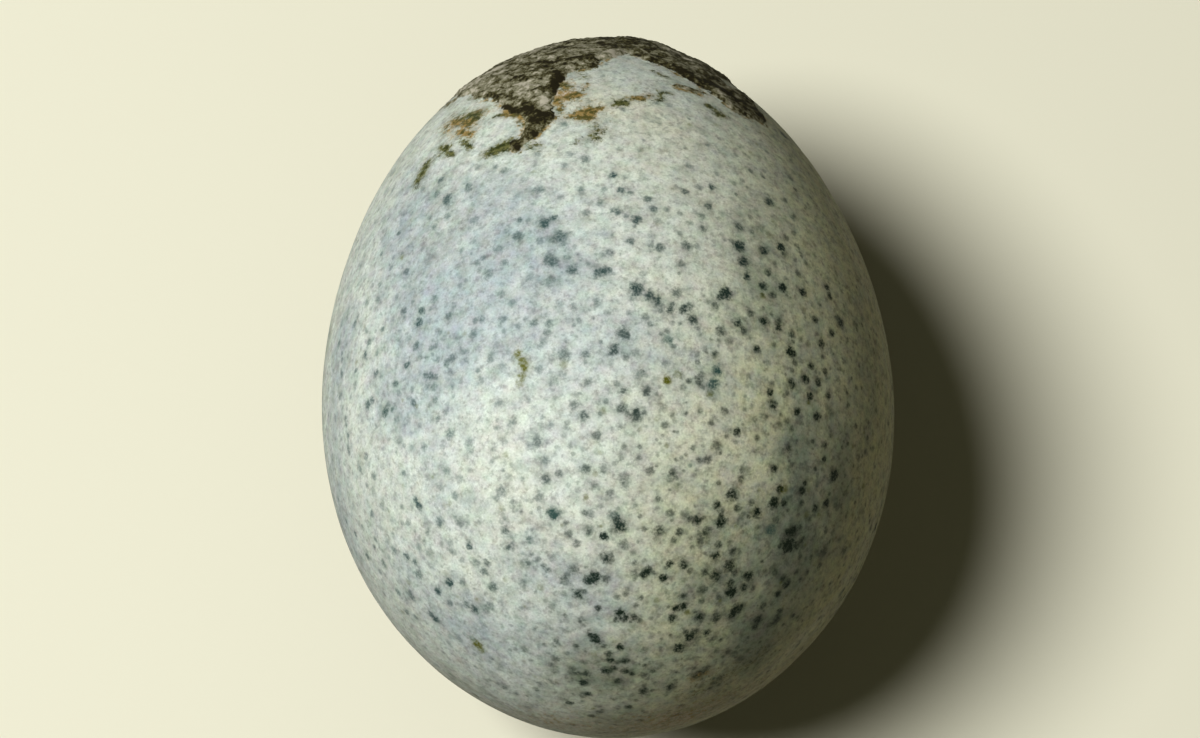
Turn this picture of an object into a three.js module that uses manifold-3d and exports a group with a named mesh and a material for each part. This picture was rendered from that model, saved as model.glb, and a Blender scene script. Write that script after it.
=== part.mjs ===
// A whole chicken egg lying on its side, as one closed solid. Millimetres, +Z up.
// The long axis runs along Y. The pointed end looks towards +Y and dips a little, as it does
// on any egg at rest, because the blunt half is the fuller one. The origin is on the surface
// that the egg rests on, under the middle of its box. Dried soil has set hard on the pointed
// end as a thin crust with ragged lobes.

import * as THREE from 'three';
import { mergeVertices } from 'three/addons/utils/BufferGeometryUtils.js';
import Module from 'manifold-3d';

// Driving dimensions, in millimetres and degrees
const WIDTH = 41;
const LENGTH = 51.8;
const REST_DIP = 6.5;
const FLAT_DEPTH = 0.2;

// Shape of the profile: how much fuller the blunt half is than the pointed half, and how
// much of that difference is given back close to the two ends
const TAPER = 0.078;
const END_RELIEF = 0.065;

// Crust of dried soil. Reaches are straight distances from the pointed end. A lobe adds to
// the reach around its own angle, counted round the long axis from the top, + towards +X.
// The thick spot is measured from the egg's middle before the egg is laid down.
const CRUST_THICKNESS = 0.38;
const CRUST_REACH = 13.6;
const CRUST_EDGE_WIDTH = 1.6;
const CRUST_LOBES = [
  { angle: -38, spread: 15, reach: 2.6 },
  { angle: -16, spread: 6, reach: 8.2 },
  { angle: 27, spread: 5, reach: 2.6 },
  { angle: 44, spread: 11, reach: 5 },
  { angle: 118, spread: 16, reach: 2.4 },
  { angle: -154, spread: 20, reach: 3.6 },
  { angle: -98, spread: 9, reach: 1.8 },
];
const CRUST_THICK_SPOT = { x: 3, y: 23, z: 8 };
const CRUST_THICK_SPREAD = 9;
const CRUST_THIN_SHARE = 0.45;
const LUMP_HEIGHT = 0.07;
const LUMP_SPACING = 2.3;

// Fineness of the facets: segments round the axis, rings along it, and how much closer
// the rings lie at the pointed end
const SEGMENTS = 72;
const RINGS = 58;
const RING_CROWDING = 0.45;

const SHELL_COLOUR = 0xc3c9bb;
const SHELL_ROUGHNESS = 0.62;

const halfWidth = WIDTH / 2;
const halfLength = LENGTH / 2;

// The profile is an ellipse whose radius is multiplied by this cubic, which is larger than
// one towards the blunt end (along = -1) and smaller towards the pointed end (along = +1)
function fullness(along) {
  return 1 - TAPER * along + END_RELIEF * along ** 3;
}

// Largest value of the ellipse times the cubic, so that the widest ring measures WIDTH
function widestSection() {
  const steps = 2000;
  let widest = 0;
  for (let i = 0; i <= steps; i += 1) {
    const along = (2 * i) / steps - 1;
    widest = Math.max(widest, Math.sqrt(1 - along ** 2) * fullness(along));
  }
  return widest;
}

// A smooth hump of height 1 around zero
function hump(offset, spread) {
  return Math.exp(-((offset / spread) ** 2));
}

// Smallest turn between two angles in degrees, from -180 to 180
function turnBetween(angle, other) {
  return THREE.MathUtils.euclideanModulo(angle - other + 180, 360) - 180;
}

// Height of the crust over the bare shell at a point of the shell
function crustHeight(point, pointedEnd) {
  const angle = THREE.MathUtils.radToDeg(Math.atan2(point.x, point.z));
  let reach = CRUST_REACH;
  for (const lobe of CRUST_LOBES) {
    reach += lobe.reach * hump(turnBetween(angle, lobe.angle), lobe.spread);
  }
  const inside = reach - point.distanceTo(pointedEnd);
  const cover = THREE.MathUtils.smoothstep(inside, 0, CRUST_EDGE_WIDTH);
  const bulk = hump(point.distanceTo(CRUST_THICK_SPOT), CRUST_THICK_SPREAD);
  const share = CRUST_THIN_SHARE + (1 - CRUST_THIN_SHARE) * bulk;
  const wave = (2 * Math.PI) / LUMP_SPACING;
  const lumps = Math.sin(wave * point.x) * Math.sin(wave * point.y) * Math.cos(wave * point.z);
  return cover * (CRUST_THICKNESS * share + LUMP_HEIGHT * lumps);
}

// Unit sphere with its poles on Y, each vertex moved out to the egg's surface: the rings are
// crowded towards the pointed end, spread to the profile's radius, then raised by the crust
function makeEggSurface() {
  const geometry = new THREE.SphereGeometry(1, SEGMENTS, RINGS);
  const position = geometry.getAttribute('position');
  const pointedEnd = new THREE.Vector3(0, halfLength, 0);
  const widest = widestSection();
  const point = new THREE.Vector3();
  const outward = new THREE.Vector3();
  for (let i = 0; i < position.count; i += 1) {
    point.fromBufferAttribute(position, i);
    const turn = Math.atan2(point.x, point.z);
    const fromPole = Math.acos(THREE.MathUtils.clamp(point.y, -1, 1)) / Math.PI;
    const polar = Math.PI * fromPole * (1 - RING_CROWDING * (1 - fromPole));
    const along = Math.cos(polar);
    const radius = (halfWidth * Math.sin(polar) * fullness(along)) / widest;
    point.set(radius * Math.sin(turn), halfLength * along, radius * Math.cos(turn));
    outward.set(point.x / halfWidth ** 2, point.y / halfLength ** 2, point.z / halfWidth ** 2);
    outward.normalize();
    point.addScaledVector(outward, crustHeight(point, pointedEnd));
    position.setXYZ(i, point.x, point.y, point.z);
  }
  return geometry;
}

// Merged, indexed triangles as a solid that can be cut
function toSolid(wasm, geometry) {
  const bare = geometry.clone();
  bare.deleteAttribute('normal');
  bare.deleteAttribute('uv');
  const merged = mergeVertices(bare);
  const vertProperties = new Float32Array(merged.getAttribute('position').array);
  const triVerts = new Uint32Array(merged.getIndex().array);
  return new wasm.Manifold(new wasm.Mesh({ numProp: 3, vertProperties, triVerts }));
}

// The solid's vertices and triangles as geometry again
function toGeometry(solid) {
  const mesh = solid.getMesh();
  const geometry = new THREE.BufferGeometry();
  geometry.setAttribute('position', new THREE.BufferAttribute(mesh.vertProperties, mesh.numProp));
  geometry.setIndex(new THREE.BufferAttribute(mesh.triVerts, 1));
  geometry.computeVertexNormals();
  return geometry;
}

// Lays the egg down: dips the pointed end, then sinks the lowest point below the surface
// by the depth of the flat and puts the middle of the box over the origin
function layDown(geometry) {
  geometry.rotateX(-THREE.MathUtils.degToRad(REST_DIP));
  geometry.computeBoundingBox();
  const { min, max } = geometry.boundingBox;
  geometry.translate(-(min.x + max.x) / 2, -(min.y + max.y) / 2, -(min.z + FLAT_DEPTH));
  return geometry;
}

// Everything below the resting surface, which leaves the small flat when it is cut away
function makeGround() {
  const depth = WIDTH / 4;
  const ground = new THREE.BoxGeometry(2 * WIDTH, 2 * LENGTH, depth);
  ground.translate(0, 0, -depth / 2);
  return ground;
}

const wasm = await Module();
wasm.setup();

const lyingEgg = toSolid(wasm, layDown(makeEggSurface()));
const restingEgg = lyingEgg.subtract(toSolid(wasm, makeGround()));

const shell = new THREE.MeshStandardMaterial({
  color: SHELL_COLOUR,
  roughness: SHELL_ROUGHNESS,
  metalness: 0,
  flatShading: true,
});

const egg = new THREE.Mesh(toGeometry(restingEgg), shell);
egg.name = 'egg';

const part = new THREE.Group();
part.add(egg);

export default part;
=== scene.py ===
# %% [markdown]
# An egg in a lesson of small steps. The object is one whole egg lying on its side, pale
# grey-green, freckled all over with slate spots, with dried soil set hard on its pointed
# end. The CAD frame already holds the plain solid. This script makes the fine surface that
# stands for it, its spots and its soil, then a floor, a soft light and a camera.

# %% The frame
import itertools
import math

import bpy
import numpy as np
from mathutils import Matrix, Vector


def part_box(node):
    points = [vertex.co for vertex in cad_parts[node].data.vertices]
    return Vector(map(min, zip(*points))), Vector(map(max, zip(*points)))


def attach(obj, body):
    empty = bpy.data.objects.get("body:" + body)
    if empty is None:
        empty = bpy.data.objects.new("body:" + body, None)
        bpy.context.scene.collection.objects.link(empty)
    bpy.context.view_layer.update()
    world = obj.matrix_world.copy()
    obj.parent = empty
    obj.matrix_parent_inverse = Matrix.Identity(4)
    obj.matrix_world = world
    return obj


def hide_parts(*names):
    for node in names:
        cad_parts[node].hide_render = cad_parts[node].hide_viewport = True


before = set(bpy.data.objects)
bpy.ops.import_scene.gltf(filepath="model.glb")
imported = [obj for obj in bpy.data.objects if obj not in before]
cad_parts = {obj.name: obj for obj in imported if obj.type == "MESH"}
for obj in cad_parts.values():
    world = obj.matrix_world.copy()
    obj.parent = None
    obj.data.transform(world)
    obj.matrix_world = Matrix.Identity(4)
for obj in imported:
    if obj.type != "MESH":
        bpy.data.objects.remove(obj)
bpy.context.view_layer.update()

# %% [markdown]
# Sizes. Everything follows from the egg's width and length, the dip of its pointed end and
# the depth of the flat that it rests on. Work is done in millimetres in the egg's own axes,
# with the long axis on Y and the middle at zero, because the shape's formula is simple
# there. One function then lays the egg down into the frame, in metres.

# %% Sizes and the profile
MM = 0.001
WIDTH = 41.0
LENGTH = 51.8
REST_DIP = math.radians(6.5)
FLAT_DEPTH = 0.2
TAPER = 0.078
END_RELIEF = 0.065
HALF_WIDTH = WIDTH / 2
HALF_LENGTH = LENGTH / 2


def fullness(along):
    """1 - taper * along + relief * along cubed: over 1 in the blunt half, under 1 in the pointed half."""
    return 1 - TAPER * along + END_RELIEF * along**3


def shape_factor(along):
    """Circle times fullness: how wide the section is, in half widths, before it is evened out."""
    return np.sqrt(np.clip(1 - along**2, 0, None)) * fullness(along)


WIDEST = shape_factor(np.linspace(-1, 1, 4001)).max()


def section_radius(along):
    """Radius in mm of the round section at along, which runs from -1 (blunt end) to 1 (pointed end)."""
    return HALF_WIDTH * shape_factor(along) / WIDEST


def shell_point(along, turn):
    """Point of the bare shell: (radius * sin turn, half length * along, radius * cos turn)."""
    radius = section_radius(along)
    return np.stack([radius * np.sin(turn), HALF_LENGTH * along, radius * np.cos(turn)], axis=-1)


def dipped(points):
    """Turns points about X so that the pointed end, +Y, goes down by the rest dip."""
    x, y, z = np.moveaxis(points, -1, 0)
    cos, sin = math.cos(REST_DIP), math.sin(REST_DIP)
    return np.stack([x, y * cos + z * sin, z * cos - y * sin], axis=-1)


def undipped(points):
    """The same turn backwards."""
    x, y, z = np.moveaxis(points, -1, 0)
    cos, sin = math.cos(REST_DIP), math.sin(REST_DIP)
    return np.stack([x, y * cos - z * sin, z * cos + y * sin], axis=-1)


turn_grid, along_grid = np.meshgrid(np.linspace(-np.pi, np.pi, 361), np.cos(np.linspace(0, np.pi, 361)))
bare = dipped(shell_point(along_grid, turn_grid)).reshape(-1, 3)
egg_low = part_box("egg")[0]
EGG_MIDDLE = np.array([0.0, egg_low[1] / MM - bare[:, 1].min(), -bare[:, 2].min() - FLAT_DEPTH])


def laid_down(points):
    """From the egg's own axes in mm to the frame in metres."""
    return (dipped(points) + EGG_MIDDLE) * MM


print("Egg middle in mm:", EGG_MIDDLE.round(3), "widest factor:", round(float(WIDEST), 5))

# %% [markdown]
# The camera comes early, because many marks are placed by where they are seen. It looks
# down at the egg from over its blunt end, with a long lens and a slight lean to the left.
# A mark's picture point becomes a line of sight, and the mark sits where that line first
# meets the shell, so it stays on the shell from every side.

# %% Camera
PICTURE = (1200, 738)
SENSOR = 36.0
VIEW_RISE = math.radians(71.5)
VIEW_LEAN = math.radians(2.9)
VIEW_DISTANCE = 307.5
FOCUS_PIXELS = 4268.0
EGG_SEEN_AT = (606.6, 385.0)
NEAR_CLIP, FAR_CLIP = 0.01, 20.0
MM_PER_PIXEL = VIEW_DISTANCE / FOCUS_PIXELS

level_right = np.array([1.0, 0.0, 0.0])
VIEW_BACK = np.array([0.0, -math.cos(VIEW_RISE), math.sin(VIEW_RISE)])
level_up = np.cross(VIEW_BACK, level_right)
VIEW_RIGHT = math.cos(VIEW_LEAN) * level_right - math.sin(VIEW_LEAN) * level_up
VIEW_UP = math.sin(VIEW_LEAN) * level_right + math.cos(VIEW_LEAN) * level_up

aside = (EGG_SEEN_AT[0] - PICTURE[0] / 2) * MM_PER_PIXEL
below = (EGG_SEEN_AT[1] - PICTURE[1] / 2) * MM_PER_PIXEL
CAMERA_SPOT = EGG_MIDDLE + VIEW_DISTANCE * VIEW_BACK - aside * VIEW_RIGHT + below * VIEW_UP

camera_data = bpy.data.cameras.new("camera")
camera_data.sensor_width = SENSOR
camera_data.lens = FOCUS_PIXELS * SENSOR / PICTURE[0]
camera_data.clip_start, camera_data.clip_end = NEAR_CLIP, FAR_CLIP
camera = bpy.data.objects.new("camera", camera_data)
turned = Matrix(np.column_stack([VIEW_RIGHT, VIEW_UP, VIEW_BACK]).tolist()).to_4x4()
camera.matrix_world = Matrix.Translation(Vector(CAMERA_SPOT * MM)) @ turned
bpy.context.collection.objects.link(camera)
bpy.context.scene.camera = camera
print("Camera lens:", round(camera_data.lens, 1), "mm, at", (CAMERA_SPOT * MM).round(4))

# %% From a picture point to the shell
SIGHT_STEPS = 600
SIGHT_HALVINGS = 24


def outside_by(points):
    """How far points in the egg's own axes lie outside the bare shell, measured across the axis, in mm."""
    along = points[..., 1] / HALF_LENGTH
    across = np.hypot(points[..., 0], points[..., 2])
    beyond = np.clip(np.abs(along) - 1, 0, None) * HALF_LENGTH
    return across - section_radius(np.clip(along, -1, 1)) + beyond


def seen_on_shell(pixels):
    """Where the lines of sight through the picture points first meet the shell, in the egg's own axes.

    Each line is walked from the camera until it is inside, then halved back to the surface.
    A line that misses gives the point where it passes closest.
    """
    pixels = np.asarray(pixels, float)
    sideways = (pixels[:, :1] - PICTURE[0] / 2) * VIEW_RIGHT
    upwards = (PICTURE[1] / 2 - pixels[:, 1:2]) * VIEW_UP
    sight = sideways + upwards - FOCUS_PIXELS * VIEW_BACK
    sight /= np.linalg.norm(sight, axis=1, keepdims=True)
    reach = np.linspace(VIEW_DISTANCE - LENGTH / 2, VIEW_DISTANCE + LENGTH / 2, SIGHT_STEPS)
    places = undipped(CAMERA_SPOT + sight[:, None] * reach[:, None] - EGG_MIDDLE)
    gap = outside_by(places)
    first = np.where((gap < 0).any(axis=1), (gap < 0).argmax(axis=1), gap.argmin(axis=1))
    near = reach[np.clip(first - 1, 0, None)]
    far = reach[first]
    for _ in range(SIGHT_HALVINGS):
        middle = (near + far) / 2
        inside = outside_by(undipped(CAMERA_SPOT + sight * middle[:, None] - EGG_MIDDLE)) < 0
        far = np.where(inside, middle, far)
        near = np.where(inside, near, middle)
    return undipped(CAMERA_SPOT + sight * far[:, None] - EGG_MIDDLE)


picture_middle = (PICTURE[0] / 2, PICTURE[1] / 2)
print("Picture middle meets the shell at", seen_on_shell([picture_middle]).round(2))

# %% [markdown]
# Random fields. Soil, grain and patches need randomness that is the same on every run. A
# value noise is the simplest: random numbers on a lattice, eased between its corners. A
# cell noise gives the distance to the nearest of many scattered points, which is what
# packed grains look like. Both work on whole arrays of points at once.

# %% Noise helpers
LATTICE = 64


def value_noise(points, cell, seed):
    """Random values from -1 to 1 on a lattice of the given cell, blended with 3tt - 2ttt along each axis."""
    lattice = np.random.default_rng(seed).uniform(-1, 1, (LATTICE,) * 3)
    place = points / cell
    corner = np.floor(place).astype(int)
    ease = place - corner
    ease = ease * ease * (3 - 2 * ease)
    total = np.zeros(len(points))
    for step in itertools.product((0, 1), repeat=3):
        weight = np.prod(np.where(np.array(step, bool), ease, 1 - ease), axis=1)
        total += weight * lattice[tuple(((corner + step) % LATTICE).T)]
    return total


def grain_noise(points, cell, seed):
    """Distance, in cells, to the nearest of one scattered point in each lattice cell."""
    scatter = np.random.default_rng(seed).uniform(0, 1, (LATTICE,) * 3 + (3,))
    place = points / cell
    corner = np.floor(place).astype(int)
    nearest = np.full(len(points), np.inf)
    for step in itertools.product((-1, 0, 1), repeat=3):
        here = corner + step
        grain = here + scatter[tuple((here % LATTICE).T)]
        nearest = np.minimum(nearest, np.linalg.norm(grain - place, axis=1))
    return nearest


def smooth_step(low, high, value):
    """0 below low, 1 above high, 3tt - 2ttt between."""
    t = np.clip((value - low) / (high - low), 0, 1)
    return t * t * (3 - 2 * t)


def hump(offset, spread):
    """exp(-(offset / spread) squared), a smooth hill of height 1."""
    return np.exp(-((offset / spread) ** 2))


# %% [markdown]
# The soil crust. On the real egg wet soil stuck to the pointed end and dried to a thin
# granular skin with lobes, a long spur and a hook. Its plan is drawn as an outline on a
# flat picture of the pointed end, where a point lies at its straight distance from the tip
# and at its angle round the axis. The corners that are seen come from the picture, and the
# far side is closed by a formula. The result is one number for every point of the shell:
# how many mm it lies inside the edge of the crust.

# %% Plan of the crust
POINTED_END = np.array([0.0, HALF_LENGTH, 0.0])
CRUST_EDGE = (
    (470, 95), (476, 100), (492, 100), (500, 106), (510, 116), (524, 116), (525, 126), (520, 138),
    (508, 142), (510, 148), (517, 152), (524, 145), (538, 138), (542, 131), (550, 124), (556, 116),
    (552, 104), (556, 94), (560, 84), (570, 74), (578, 71), (596, 70), (600, 62), (616, 58),
    (628, 54), (638, 56), (645, 61), (659, 65), (670, 70), (682, 77), (702, 88), (713, 95),
    (723, 103), (737, 113), (753, 120), (765, 125), (767, 122), (758, 110), (747, 97), (728, 87),
    (713, 75),
)
EDGE_STREAKS = (((438, 108), (456, 100), 0.2), ((678, 86), (700, 92), 0.3))
HIDDEN_REACH = 12.6
HIDDEN_LOBES = ((118, 16, 2.4), (206, 20, 3.6), (262, 9, 1.8))
HIDDEN_CORNERS = 90
REACH_BLEND = 14.0
EDGE_NOISES = ((0.16, 1.1, 11), (0.12, 0.5, 12))
LEAST_RUN = 1e-9


def unrolled(points):
    """Flat picture of the pointed end: (distance * sin angle, distance * cos angle)."""
    away = np.linalg.norm(points - POINTED_END, axis=1)
    angle = np.arctan2(points[:, 0], points[:, 2])
    return np.stack([away * np.sin(angle), away * np.cos(angle)], axis=1)


def hidden_edge(seen_corners):
    """The edge round the side that isn't seen, from the last seen corner on to the first.

    Reach = the usual reach + lobes + a hump at both ends that meets the seen corners.
    """
    reach = np.hypot(*seen_corners.T)
    angle = np.degrees(np.arctan2(*seen_corners.T))
    start, stop = angle[-1], angle[0] + 360
    angles = np.linspace(start, stop, HIDDEN_CORNERS + 2)[1:-1]
    reaches = HIDDEN_REACH + (reach[-1] - HIDDEN_REACH) * hump(angles - start, REACH_BLEND)
    reaches += (reach[0] - HIDDEN_REACH) * hump(angles - stop, REACH_BLEND)
    for lobe_angle, spread, longer in HIDDEN_LOBES:
        reaches += longer * hump(angles - lobe_angle, spread)
    turn = np.radians(angles)
    return np.stack([reaches * np.sin(turn), reaches * np.cos(turn)], axis=1)


def distance_to_stroke(points, start, end):
    """Distance from each point to the straight stroke between two points, which may be the same."""
    run = end - start
    share = np.clip((points - start) @ run / max(run @ run, LEAST_RUN), 0, 1)
    return np.linalg.norm(points - start - share[:, None] * run, axis=1)


def inside_outline(points, corners):
    """Distance in the flat picture to the nearest side of a closed outline, positive inside.

    A point is inside when a line from it to the right crosses the outline an odd number of times.
    """
    nearest = np.full(len(points), np.inf)
    odd = np.zeros(len(points), bool)
    for start, end in zip(corners, np.roll(corners, -1, axis=0)):
        nearest = np.minimum(nearest, distance_to_stroke(points, start, end))
        crosses = (start[1] > points[:, 1]) != (end[1] > points[:, 1])
        slope = (end[0] - start[0]) / (end[1] - start[1])
        odd ^= crosses & (points[:, 0] < start[0] + (points[:, 1] - start[1]) * slope)
    return np.where(odd, nearest, -nearest)


def inside_crust(points):
    """How far inside the edge of the crust a point lies, in mm.

    Distance to the outline, raised by the thin streaks, + noises of (height, cell, seed).
    """
    seen_corners = unrolled(seen_on_shell(CRUST_EDGE))
    plan = inside_outline(unrolled(points), np.concatenate([seen_corners, hidden_edge(seen_corners)]))
    for first, last, half_width in EDGE_STREAKS:
        start, end = seen_on_shell([first, last])
        plan = np.maximum(plan, half_width - distance_to_stroke(points, start, end))
    for height, cell, seed in EDGE_NOISES:
        plan = plan + height * value_noise(points, cell, seed)
    return plan


# %% [markdown]
# The shell's mesh. A surface of revolution is a grid of rings and segments. The rings lie
# closer together under the crust, where the grains need points, and wider apart over the
# smooth shell. Every point is moved out along the shell's normal by the crust and by the
# fine unevenness of the shell, then the flat is pressed in by keeping heights above zero.

# %% Rings and segments
SEGMENTS = 352
CRUST_RINGS = 144
PLAIN_RINGS = 138
CRUST_ARC = 21.0
POLAR_STEPS = 20001
RING_SPREAD = 0.6

polar_table = np.linspace(0, np.pi, POLAR_STEPS)
outline = np.stack([HALF_LENGTH * np.cos(polar_table), section_radius(np.cos(polar_table))], axis=1)
arc_table = np.concatenate([[0], np.cumsum(np.linalg.norm(np.diff(outline, axis=0), axis=1))])
crust_arcs = np.linspace(0, CRUST_ARC, CRUST_RINGS, endpoint=False)[1:]

# The plain rings start with the gap of the crust's rings, and the gaps widen with a share of
# first gap * even + the rest * even squared * (1 + spread - spread * even)
even = np.linspace(0, 1, PLAIN_RINGS)[:-1]
first_gap = CRUST_ARC / CRUST_RINGS / (arc_table[-1] - CRUST_ARC) * PLAIN_RINGS
widening = even**2 * (1 + RING_SPREAD - RING_SPREAD * even)
plain_share = first_gap * even + (1 - first_gap) * widening
plain_arcs = CRUST_ARC + (arc_table[-1] - CRUST_ARC) * plain_share
ring_arcs = np.concatenate([crust_arcs, plain_arcs])
ring_along = np.cos(np.interp(ring_arcs, arc_table, polar_table))
ring_turns = np.linspace(0, 2 * np.pi, SEGMENTS, endpoint=False)
print("Rings:", len(ring_arcs), "segments:", SEGMENTS)
print("Length over the shell from end to end:", round(arc_table[-1], 2), "mm")


def grid_points():
    """All ring points, ring by ring, then the pointed pole and the blunt pole."""
    along = np.repeat(ring_along, SEGMENTS)
    turn = np.tile(ring_turns, len(ring_along))
    poles = np.array([[0.0, HALF_LENGTH, 0.0], [0.0, -HALF_LENGTH, 0.0]])
    return np.concatenate([shell_point(along, turn), poles])


def grid_faces():
    """Four-sided faces between rings, wrapped at the seam, and a fan of triangles at each pole."""
    rings = len(ring_along)
    index = np.arange(rings * SEGMENTS).reshape(rings, SEGMENTS)
    beside = np.roll(index, -1, axis=1)
    quads = np.stack([index[:-1], index[1:], beside[1:], beside[:-1]], axis=-1).reshape(-1, 4)
    pointed, blunt = rings * SEGMENTS, rings * SEGMENTS + 1
    first = np.stack([np.full(SEGMENTS, pointed), index[0], beside[0]], axis=-1)
    last = np.stack([index[-1], np.full(SEGMENTS, blunt), beside[-1]], axis=-1)
    return quads, np.concatenate([first, last])


def shell_normal(points):
    """Outward direction of the ellipsoid that the egg is close to.

    Each coordinate over its half size squared, then brought to length one.
    """
    normal = points / np.array([HALF_WIDTH, HALF_LENGTH, HALF_WIDTH]) ** 2
    return normal / np.linalg.norm(normal, axis=1, keepdims=True)


# %% Relief of the crust and the shell
CRUST_THIN = 0.17
CRUST_BULGES = (
    ((3.0, 23.0, 8.0), 9.0, 0.14),
    ((3.4, 23.2, 8.4), 2.6, 0.2),
)
CRUST_RISE = (-0.05, 0.6)
GRAIN_SIZE, GRAIN_HEIGHT = 0.42, 0.12
LUMP_SIZE, LUMP_SHARE = 1.3, 0.4
FINE_SIZE, FINE_HEIGHT = 0.3, 0.04
SHELL_SWELLS = ((0.03, 6.0, 31), (0.012, 2.4, 32), (0.007, 0.8, 33))


def crust_height(points, inside):
    """Cover * (thickness * (1 + lumps) + grains + fine noise): grains stand highest at their middles."""
    cover = smooth_step(*CRUST_RISE, inside)
    thickness = np.full(len(points), CRUST_THIN)
    for middle, spread, height in CRUST_BULGES:
        thickness += height * hump(np.linalg.norm(points - middle, axis=1), spread)
    grains = 0.5 - grain_noise(points, GRAIN_SIZE, 21)
    lumps = value_noise(points, LUMP_SIZE, 22)
    fine = value_noise(points, FINE_SIZE, 23)
    return cover * (thickness * (1 + LUMP_SHARE * lumps) + GRAIN_HEIGHT * grains + FINE_HEIGHT * fine)


def shell_height(points):
    """Slow swells of a few hundredths of a mm and fine pits, as noises of (height, cell, seed)."""
    return sum(height * value_noise(points, cell, seed) for height, cell, seed in SHELL_SWELLS)


smooth_points = grid_points()
crust_inside = inside_crust(smooth_points)
raised = crust_height(smooth_points, crust_inside) + shell_height(smooth_points)
egg_points = smooth_points + raised[:, None] * shell_normal(smooth_points)
frame_points = laid_down(egg_points)
frame_points[:, 2] = np.clip(frame_points[:, 2], 0, None)
on_flat = frame_points[:, 2] <= 0
print("Crust points:", int((crust_inside > 0).sum()), "highest crust:", round(float(raised.max()), 3), "mm")
print("Flat across:", np.ptp(frame_points[on_flat], axis=0)[:2].round(5))

# %% The mesh object
quads, fans = grid_faces()
egg_mesh = bpy.data.meshes.new("egg_shell")
egg_mesh.from_pydata(frame_points.tolist(), [], quads.tolist() + fans.tolist())
egg_mesh.polygons.foreach_set("use_smooth", np.ones(len(egg_mesh.polygons), bool))
egg_mesh.update()
egg_piece = bpy.data.objects.new("egg_shell", egg_mesh)
bpy.context.collection.objects.link(egg_piece)
print("Egg mesh:", len(egg_mesh.vertices), "points,", 2 * len(quads) + len(fans), "triangles")


def add_attribute(name, kind, domain, values):
    """A named attribute on the egg's mesh, filled in one go."""
    attribute = egg_mesh.attributes.new(name, kind, domain)
    field = "vector" if kind == "FLOAT_VECTOR" else "value"
    attribute.data.foreach_set(field, values.astype(np.float32).ravel())


# %% [markdown]
# Soft fields. Tones in the soil, stains next to it and the slow clouds of colour on the
# shell, some of which paint shade and bounce light near its rims and flanks, are wide
# compared with the mesh's faces, so each point of the mesh simply stores their strength. An
# image would need an unwrapped surface, and these need only the points.
# A field is a sum of soft strokes, each drawn between two picture points:
# (x, y, x, y, half width in picture points, strength). A dot is a stroke without length.

# %% Strokes
SOIL_TONES = (
    (494, 97, 528, 104, 5, -0.6), (500, 109, 530, 110, 5, -1.0), (528, 112, 552, 116, 6, -0.8),
    (536, 119, 533, 134, 6, -1.0), (511, 143, 519, 150, 5, -1.0), (522, 141, 536, 137, 4, -0.6),
    (545, 64, 560, 82, 6, -1.0), (553, 84, 556, 94, 4, -0.8), (552, 104, 554, 112, 3, -0.8),
    (563, 62, 598, 62, 7, -1.0), (510, 82, 532, 79, 3, -0.6), (596, 47, 614, 50, 6, -0.8),
    (640, 62, 690, 76, 5, -1.2), (684, 78, 706, 92, 6, -1.4), (704, 84, 762, 119, 7, -1.3),
    (600, 42, 632, 45, 4, -0.5), (455, 92, 480, 84, 7, 0.9), (480, 80, 505, 68, 6, 0.8),
    (515, 90, 545, 84, 8, 1.0), (546, 103, 549, 113, 4, 1.6), (538, 98, 545, 102, 4, 0.8),
    (634, 41, 652, 44, 4, 1.0), (656, 50, 690, 64, 4, 0.6), (603, 55, 628, 54, 4, 0.6),
)
OCHRE_STAINS = (
    (450, 122, 474, 126, 13, 0.35), (562, 86, 598, 114, 13, 0.3), (506, 112, 530, 117, 6, 0.5),
    (560, 96, 560, 114, 6, 0.35),
    (456, 121, 470, 123, 8, 0.7), (461, 132, 472, 136, 5, 0.9), (470, 122, 482, 114, 5, 0.6),
    (554, 97, 560, 110, 5, 0.6), (560, 83, 566, 89, 5, 0.9), (568, 95, 580, 94, 4, 1.2),
    (561, 98, 574, 98, 6.5, 0.5), (572, 116, 588, 118, 6.5, 1.1), (582, 111, 591, 112, 5, 1.0),
    (590, 110, 603, 108, 4, 0.7), (597, 129, 600, 131, 4, 0.7), (505, 115, 531, 116, 4, 0.9),
    (523, 120, 528, 132, 7, 0.8), (541, 129, 553, 119, 4, 0.9), (628, 98, 640, 98, 4, 0.8),
    (640, 99, 651, 95, 5, 0.7), (499, 104, 512, 113, 5, 0.5), (679, 86, 700, 95, 4, 1.0),
    (446, 128, 452, 138, 8, 0.4), (585, 90, 588, 84, 2.5, 0.8), (694, 678, 712, 673, 6, 0.6),
    (715, 700, 760, 680, 14, 0.35),
)
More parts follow.
